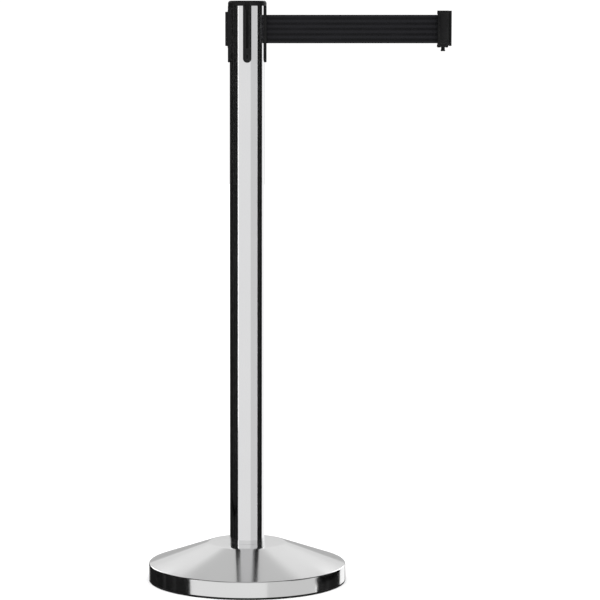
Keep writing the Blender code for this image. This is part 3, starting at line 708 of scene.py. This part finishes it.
def webbing_mesh(name, path, across):
    """Closed band along a path in plan, with ribbed faces and rounded selvedges."""
    round_width, thinnest = 0.0004, 0.45
    work = bmesh.new()
    rows = []
    shares = [k / across for k in range(across + 1)]
    for i, (x, y) in enumerate(path):
        ahead = Vector(path[min(i + 1, len(path) - 1)]) - Vector(path[max(i - 1, 0)])
        side = Vector((-ahead.y, ahead.x)).normalized()
        ring = []
        for face in (1, -1):
            for share in (shares if face > 0 else reversed(shares)):
                lift = (BELT_THICKNESS / 2 - SELVEDGE_HEIGHT + rib_height(share)) * face
                edge = min(share, 1 - share) * BELT_WIDTH
                if edge < round_width:
                    lift *= thinnest + (1 - thinnest) * edge / round_width
                ring.append(work.verts.new((x + side.x * lift, y + side.y * lift,
                                            BELT_LOW + BELT_WIDTH * share)))
        rows.append(ring)
    return swept(name, work, rows)


def inner_path():
    """Off the roll and round the guide pin, as the CAD belt runs."""
    roll = ROLL_RADIUS + GAP + BELT_THICKNESS / 2
    pin = PIN_RADIUS + GAP + BELT_THICKNESS / 2
    heading = atan2(PIN_Y, PIN_X) - asin((roll + pin) / hypot(PIN_X, PIN_Y))
    roll_turn, roll_steps, pin_steps = 0.35, 6, 10
    turns = [heading + roll_turn * k / roll_steps for k in range(roll_steps, -1, -1)]
    points = [(-roll * sin(turn), roll * cos(turn)) for turn in turns]
    for k in range(pin_steps + 1):
        angle = heading * (1 - k / pin_steps)
        points.append((PIN_X + pin * sin(angle), PIN_Y - pin * cos(angle)))
    return points


def make_belt():
    """Belt from the roll to the belt end's pin, between the head and the belt end."""
    last_x = low("belt_pin").x - GAP
    steps, sway, waves = 150, 0.00012, 1.5
    path = inner_path()
    for i in range(1, steps + 1):
        t = i / steps
        path.append((PIN_X + (last_x - PIN_X) * t, sway * sin(pi * t) * sin(2 * pi * waves * t)))
    belt = webbing_mesh("belt_webbing", path, 252)
    finish_piece(belt, "black_webbing", None, "belt", smooth=60)
    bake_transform(belt)


def make_stitches():
    """Rows of thread across the belt beside the belt end, one short lap of thread for each stitch."""
    work = bmesh.new()
    pitch, radius, margin, lift = 0.0024, 0.00016, 0.003, 0.00004
    count = int((BELT_WIDTH - 2 * margin) / pitch)
    for before_end in (0.0042, 0.0082):
        for i in range(count):
            z = BELT_LOW + margin + pitch * (i + 0.5)
            for face in (-1, 1):
                place = Matrix.Translation((END_X - END_HALF_WIDTH - before_end,
                                            face * (BELT_THICKNESS / 2 + lift), z))
                shape = Matrix.Diagonal((radius, radius * 0.8, pitch * 0.42, 1))
                bmesh.ops.create_uvsphere(work, u_segments=8, v_segments=6, radius=1, matrix=place @ shape)
    finish_piece(piece_of("belt_stitches", work), "black_webbing", "belt_end", smooth=60)


# ---------------------------------------------------------------- belt end

UNDERSIDE = 0.9598
BELOW_END = 0.9500
SLAB_LOW = 1.0188
BOW_LOW = 0.9658
SIDE_LOW = 0.9665
FOOT_LAYER = 0.0047
ARC_RADIUS = 0.0073
PAST_FACE = 0.0080
LOCK_HOLE_RADIUS = 0.0031
LOCK_MOUTH_RADIUS = 0.0037
LOCK_ROOM_RADIUS = 0.0038
LOCK_MOUTH_TOP = 0.9632
LOCK_ROOM_LOW = 0.9700
LOCK_ROOM_HIGH = 0.9905
LOCK_ROOM_TIP = 0.9928
COLLAR_LOW = 0.9720
COLLAR_HIGH = 0.9735
NECK_HIGH = 0.9608
NECK_LOW = 0.9562


def end_outline():
    """Belt end seen from the front: a thicker top slab, and two small feet below its underside."""
    half, foot, lip = END_HALF_WIDTH, 0.0010, 0.0006
    return fillet([(half, END_TOP, 0.0007), (-half - lip, END_TOP, 0.0009), (-half - lip, SLAB_LOW, 0.0003),
                   (-half, SLAB_LOW - lip, 0.0004), (-half, SIDE_LOW, 0.002),
                   (-half - foot, END_LOW + 0.0022, 0.0006), (-half + 0.0004, END_LOW, 0.0006),
                   (-half + 0.0036, END_LOW, 0.0006), (-half + 0.0042, UNDERSIDE, 0.0004),
                   (half - 0.0051, UNDERSIDE, 0.0004), (half - 0.0045, END_LOW, 0.0006),
                   (half - 0.0014, END_LOW, 0.0005), (half - 0.0006, END_LOW + 0.0028, 0.001),
                   (half, SIDE_LOW - 0.0012, 0.001)], 4)


def cup_outline(half, top, bottom, radius, steps=20):
    """Upright panel, straight above and bowed downwards below, from its lowest point and bow radius."""
    reach = asin(min(1.0, half / radius))
    points = [(half, top), (-half, top)]
    for k in range(steps + 1):
        angle = -reach + 2 * reach * k / steps
        points.append((radius * sin(angle), bottom + radius * (1 - cos(angle))))
    return points


def end_face_tools():
    """Cutters that give the front half its raised cup-shaped face, bowed groove and slab line."""
    half, steps = END_HALF_WIDTH, 24
    below = [(half * cos(pi * k / steps), UNDERSIDE + 0.0003 + half * (1 - sin(pi * k / steps)))
             for k in range(steps + 1)]
    aside, cup_side = half + 0.004, UNDERSIDE + half
    around = below + [(-aside, cup_side), (-aside, BELOW_END), (aside, BELOW_END), (aside, cup_side)]
    corners = plate("corners", around, FOOT_LAYER, PAST_FACE, from_front(END_X))
    reach, wide = radians(52), 0.0008
    arc = [(r * sin(t), BOW_LOW + ARC_RADIUS - r * cos(t))
           for r, way in ((ARC_RADIUS, 1), (ARC_RADIUS - wide, -1))
           for t in (way * (-reach + 2 * reach * k / steps) for k in range(steps + 1))]
    groove = plate("bow", arc, END_HALF_DEPTH - 0.0007, PAST_FACE, from_front(END_X))
    line = box("slab_line", (END_X - 0.02, -PAST_FACE, SLAB_LOW - 0.0004),
               (END_X + half - 0.0012, -END_HALF_DEPTH + 0.0005, SLAB_LOW + 0.0001))
    return [corners, groove, line]


def make_end_halves():
    """Front and rear moulded halves, hollowed for the belt's loop, the lock and its spring."""
    pin_x = (low("belt_pin").x + high("belt_pin").x) / 2
    loop, slit, above_belt, recess = 0.0027, 0.0006, 0.0010, 0.0005
    half_room = [(END_X - 0.020, slit), (pin_x - loop, slit), (pin_x - loop, loop),
                 (pin_x + loop * 0.7, loop)]
    room_outline = half_room + [(u, -v) for u, v in reversed(half_room)]
    room, hole, mouth, tip = LOCK_ROOM_RADIUS, LOCK_HOLE_RADIUS, LOCK_MOUTH_RADIUS, 0.0024
    lock_room = [(0, LOCK_ROOM_TIP), (tip, LOCK_ROOM_TIP), (tip, LOCK_ROOM_HIGH), (room, LOCK_ROOM_HIGH),
                 (room, LOCK_ROOM_LOW), (hole, LOCK_ROOM_LOW), (hole, LOCK_MOUTH_TOP),
                 (mouth, LOCK_MOUTH_TOP), (mouth, BELOW_END), (0, BELOW_END)]
    bottom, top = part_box("belt_end_inset")
    inset_half = half_size("belt_end_inset", 0)
    recess_outline = cup_outline(inset_half + recess, top.z + recess, bottom.z - recess, ARC_RADIUS + recess)
    for name, side in (("front", -1), ("rear", 1)):
        half = plate(f"belt_end_{name}_moulding", end_outline(), -END_HALF_DEPTH, END_HALF_DEPTH,
                     from_front(END_X))
        rounded(half, 0.0012, 4, 60)
        far = sorted((-side * 0.020, side * GAP / 2))
        tools = [
            box("split", (END_X - 0.03, far[0], 0.9), (END_X + 0.03, far[1], 1.1)),
            plate("belt_room", room_outline, BELT_LOW - above_belt, BELT_HIGH + above_belt),
            turned("lock_room", lock_room, 48, centre=(END_X, 0)),
        ]
        for i in (1, 2, 3):
            tools.append(end_screw_hole(f"belt_end_screw_{i}"))
        if side < 0:
            tools.append(plate("recess", recess_outline, END_HALF_DEPTH - 0.0012, PAST_FACE,
                               from_front(END_X)))
            tools += end_face_tools()
        boolean(half, tools, solver="MANIFOLD")
        finish_piece(half, "black_plastic", "belt_end", "belt_end_" + name)
    outline = cup_outline(inset_half, top.z, bottom.z, ARC_RADIUS)
    inset = plate("belt_end_inset_plate", outline, -top.y, -bottom.y, from_front(END_X))
    rounded(inset, 0.00040, 3, 50)
    finish_piece(inset, "black_plastic", "belt_end", "belt_end_inset")


def screw_frame(node):
    """From a screw standing on the origin to one that lies along Y with its head to the rear."""
    bottom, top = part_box(node)
    place = Matrix.Translation(((bottom.x + top.x) / 2, bottom.y, (bottom.z + top.z) / 2))
    return place @ Matrix.Rotation(-pi / 2, 4, "X")


def end_screw_hole(node):
    bottom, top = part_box(node)
    reach, head, shank = top.y - bottom.y, 0.0015, 0.0010
    hole = turned(node + "_hole", [(0, reach + 0.0006), (head, reach + 0.0006), (head, reach - 0.0003),
                                   (shank, reach - 0.0010), (shank, -GAP), (0, -GAP)], 24)
    hole.data.transform(screw_frame(node))
    return hole


def make_t_bar():
    """Bar with a T-shaped section: a thin web from the belt end, and a wide head."""
    bottom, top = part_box("t_bar")
    near, far = bottom.x - END_X, top.x - END_X
    head_x, web, head = near + 0.0024, 0.0022, top.y
    half = [(far, head, 0.0008), (head_x, head, 0.0004), (head_x, web, 0.0003), (near, web)]
    outline = fillet(half + [(corner[0], -corner[1], *corner[2:]) for corner in reversed(half)], 5)
    bar = plate("t_bar_moulding", outline, bottom.z, top.z, Matrix.Translation((END_X, 0, 0)))
    rounded(bar, 0.0004, 3, 60)
    finish_piece(bar, "black_plastic", "belt_end", "t_bar")


def make_lock_knob():
    """Flared grip on a neck, a stem through the belt end and a collar that carries the spring."""
    bottom, top = low("lock_knob").z, high("lock_knob").z
    grip, stem, tip, neck = high("lock_knob").x - END_X, LOCK_HOLE_RADIUS - GAP, 0.0019, 0.0034
    collar = LOCK_ROOM_RADIUS - 0.0004
    profile = fillet([(0, top), (tip, top, 0.0003), (tip, COLLAR_HIGH), (collar, COLLAR_HIGH),
                      (collar, COLLAR_LOW), (stem, COLLAR_LOW), (stem, NECK_HIGH),
                      (neck, NECK_HIGH, 0.0003), (neck, NECK_LOW, 0.0006), (grip, bottom + 0.0012, 0.0006),
                      (grip * 0.92, bottom, 0.0005), (0, bottom)], 5)
    knob = turned("lock_knob_moulding", profile, 64, centre=(END_X, 0))
    finish_piece(knob, "black_plastic", "lock", "lock_knob")


def make_lock_spring():
    """Round wire coil with a closed turn at each end, built at its rest length; on the real part it shortens
    as the knob is pushed up.
    """
    bottom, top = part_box("lock_spring")
    wire, wire_sides, turn_steps = 0.00025, 10, 28
    coil = half_size("lock_spring", 0) - wire
    closed, open_turns = 0.75, 5
    all_turns = open_turns + 2 * closed
    first, last = bottom.z + 3 * wire, top.z - 3 * wire
    count = int(turn_steps * all_turns)
    work = bmesh.new()
    rings = []
    for i in range(count + 1):
        turn = all_turns * i / count
        risen = min(1.0, max(0.0, (turn - closed) / open_turns))
        past_ends = min(turn, closed) - closed + max(turn - closed - open_turns, 0.0)
        height = first + (last - first) * risen + wire * 2 * past_ends / closed
        ring = []
        for k in range(wire_sides):
            round_wire = 2 * pi * k / wire_sides
            radius = coil + wire * cos(round_wire)
            ring.append(work.verts.new((END_X + radius * cos(2 * pi * turn), radius * sin(2 * pi * turn),
                                        height + wire * sin(round_wire))))
        rings.append(ring)
    spring = swept("lock_spring_coil", work, rings)
    finish_piece(spring, "spring_steel", "belt_end", "lock_spring", smooth=60)
    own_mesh(spring)


# ---------------------------------------------------------------- inside pieces that keep their CAD shape


def dress_frame():
    """Give every CAD node the finish that the record names for it."""
    slots = {row["node"]: row["material_slot"] for row in frame["record"]["subparts"]}
    for name, obj in frame["nodes"].items():
        obj.data.materials.clear()
        obj.data.materials.append(LOOKS[slots[name]])


# ---------------------------------------------------------------- stage, light and camera


def make_world():
    """White to the camera and even for matt surfaces. Gloss sees studio walls, placed by the turn round
    the post in degrees: 0 is behind the camera, 90 on its right and 180 behind the post. In front is a wide
    soft light, greyer to the right and dark to the far left. The corners behind are dark as far as the
    backdrop's bright edges. Straight behind the post the floor is greyer than the backdrop, and a grey
    card hangs above it."""
    to_camera, to_matt = 1.06, 1.60
    walls_top, corners_low, ceiling = (0.22, 0.30), (0.205, 0.215), (0.82, 0.86)
    corners_start, behind_start = (104, 112), (160, 163)
    dark, card_level, card_low, card_slope, card_soft = 0.010, 0.61, 0.6785, 0.203, 0.04
    world = bpy.data.worlds.new("Studio")
    bpy.context.scene.world = world
    world.use_nodes = True
    tree = world.node_tree
    tree.nodes.clear()
    n = Nodes(tree)
    direction = n.add("ShaderNodeTexCoord").outputs["Generated"]
    xyz = n.add("ShaderNodeSeparateXYZ")
    n.put(xyz, "i0", direction)
    side, depth, rise = xyz.outputs
    turn = n.math("MULTIPLY", n.math("ARCTAN2", side, n.math("MULTIPLY", depth, -1.0)), 180 / pi)

    def steps(value, *levels):
        """Level that changes at each given place: first level, then (place, softness, level) rows."""
        result = levels[0]
        for place, soft, level in levels[1:]:
            result = n.mix_value(n.span(value, place - soft, place + soft), result, level)
        return result

    low_walls = steps(turn, 0.012, (-76, 0.8, 0.876), (23, 1.0, 0.689), (100, 1.0, 1.10))
    high_walls = steps(turn, 0.34, (-71.5, 4.0, 0.68), (55, 4.0, 0.18))
    walls = n.mix_value(n.span(rise, *walls_top), low_walls, high_walls)
    off_axis = n.math("ABSOLUTE", turn)
    backdrop_edge = steps(rise, 2.40, (0.53, 0.03, 0.75))
    corners = steps(off_axis, 0.57, (108, 4.0, dark), (142, 1.5, backdrop_edge))
    corners = steps(rise, corners, (0.73, 0.03, dark))
    corner_share = n.math("MULTIPLY", n.span(off_axis, *corners_start), n.span(rise, *corners_low))
    walls = n.mix_value(corner_share, walls, corners)
    card_edge = n.math("ADD", n.math("MULTIPLY", side, card_slope), card_low)
    card = n.span(n.math("SUBTRACT", rise, card_edge), -card_soft, card_soft)
    behind = steps(rise, 0.47, (0.155, 0.008, 0.77), (0.32, 0.08, 0.88))
    behind = n.mix_value(card, behind, card_level)
    gloss = n.mix_value(n.span(off_axis, *behind_start), walls, behind)
    overhead = steps(n.math("ABSOLUTE", side), 0.40, (0.22, 0.07, 0.06))
    gloss = n.mix_value(n.span(rise, *ceiling), gloss, overhead)
    path = n.add("ShaderNodeLightPath")
    level = n.mix_value(path.outputs["Is Glossy Ray"], to_matt, gloss)
    level = n.mix_value(path.outputs["Is Camera Ray"], level, to_camera)
    background = n.add("ShaderNodeBackground")
    n.put(background, "Color", grey(1.0))
    n.put(background, "Strength", level)
    output = n.add("ShaderNodeOutputWorld")
    tree.links.new(background.outputs[0], output.inputs[0])


def plain_material(name, level):
    made, _, shader = new_material(name, 0.0, Specular_IOR_Level=0.0)
    shader.inputs["Base Color"].default_value = grey(level)
    shader.inputs["Roughness"].default_value = 1.0
    return made


def make_card(name, start, end, bottom, top, paint):
    """Thin upright studio card from start to end in plan, that only reflections see."""
    along = (end - start).normalized()
    thick = Vector((-along.y, along.x)) * 0.002
    card = plate(name, [start, end, end + thick, start + thick], bottom, top)
    card.data.materials.append(paint)
    card.visible_camera = card.visible_diffuse = card.visible_shadow = False
    card.visible_transmission = False


def black_cloth():
    """Black studio cloth, flat, with the light and shade of upright folds painted on as lighter and darker
    streaks.
    """
    made, n, shader = new_material("black_cloth_paint", 0.0, Specular_IOR_Level=0.0, Roughness=1.0)
    where, _ = n.place()
    # Painted light and shade: upright streaks stand in for the cloth's folds.
    folds = n.noise(n.stretched(where, (9, 9, 0.05)), 1.0, 3.0, 0.7)
    n.put(shader, "Base_Color", n.mix(n.span(folds, 0.45, 0.75), grey(0.006), grey(0.020)))
    return made


def white_card(name, glow):
    made = plain_material(name, 0.5)
    shader = made.node_tree.nodes["Principled BSDF"]
    shader.inputs["Emission Color"].default_value = grey(1.0)
    shader.inputs["Emission Strength"].default_value = glow
    return made


def make_flag(name, near, far, bottom, top, edge_width, edge_bottom, edge_glow):
    """Black cloth on a frame from near to far, with a pale edge on its near side."""
    rim = near + (near - far).normalized() * edge_width
    make_card(name, near, far, bottom, top, black_cloth())
    make_card(name + "_edge", rim, near, edge_bottom, top, white_card(name + "_edge_paint", edge_glow))


def make_stage():
    """Floor, and a black flag on each side that darkens the edges of the tube and the base."""
    reach, thick = 12, 0.02
    floor = plate("floor", [(reach, reach), (-reach, reach), (-reach, -reach), (reach, -reach)],
                  -thick, -0.0001)
    floor.data.materials.append(plain_material("floor_paint", 0.95))
    floor.visible_glossy = False
    foot = -0.30
    make_flag("right_flag", Vector((0.329, -0.1335)), Vector((0.345, 0.138)), foot, 1.60, 0.012, foot, 0.30)
    make_flag("left_flag", Vector((-0.767, -0.398)), Vector((-0.767, 0.500)), foot, 1.06, 0.060, 0.15, 1.0)


def make_camera():
    """Long lens from in front, at the belt's height and turned a little down."""
    distance, height, down = 4.74, 0.999, radians(5.907)
    lens_data = bpy.data.cameras.new("Camera")
    camera = add_piece("Camera", lens_data)
    camera.location = (0, -distance, height)
    camera.rotation_euler = (pi / 2 - down, 0, 0)
    lens_data.lens = 159.45
    lens_data.sensor_width = 36.0
    lens_data.shift_x = 0.088
    lens_data.clip_end = 100
    bpy.context.scene.camera = camera


make_world()
make_stage()
make_camera()
bpy.context.scene.view_settings.view_transform = "Standard"

make_base()
make_tube()
make_cap()
for side, angle in SIDES:
    make_receiver(side, angle)
make_outlet()
make_slot_clip()
make_belt()
make_stitches()
make_end_halves()
make_t_bar()
make_lock_knob()
make_lock_spring()
for i in (1, 2, 3):
    node = f"belt_end_screw_{i}"
    make_screw(node + "_head", node, None, "belt_end", screw_frame(node))
dress_frame()
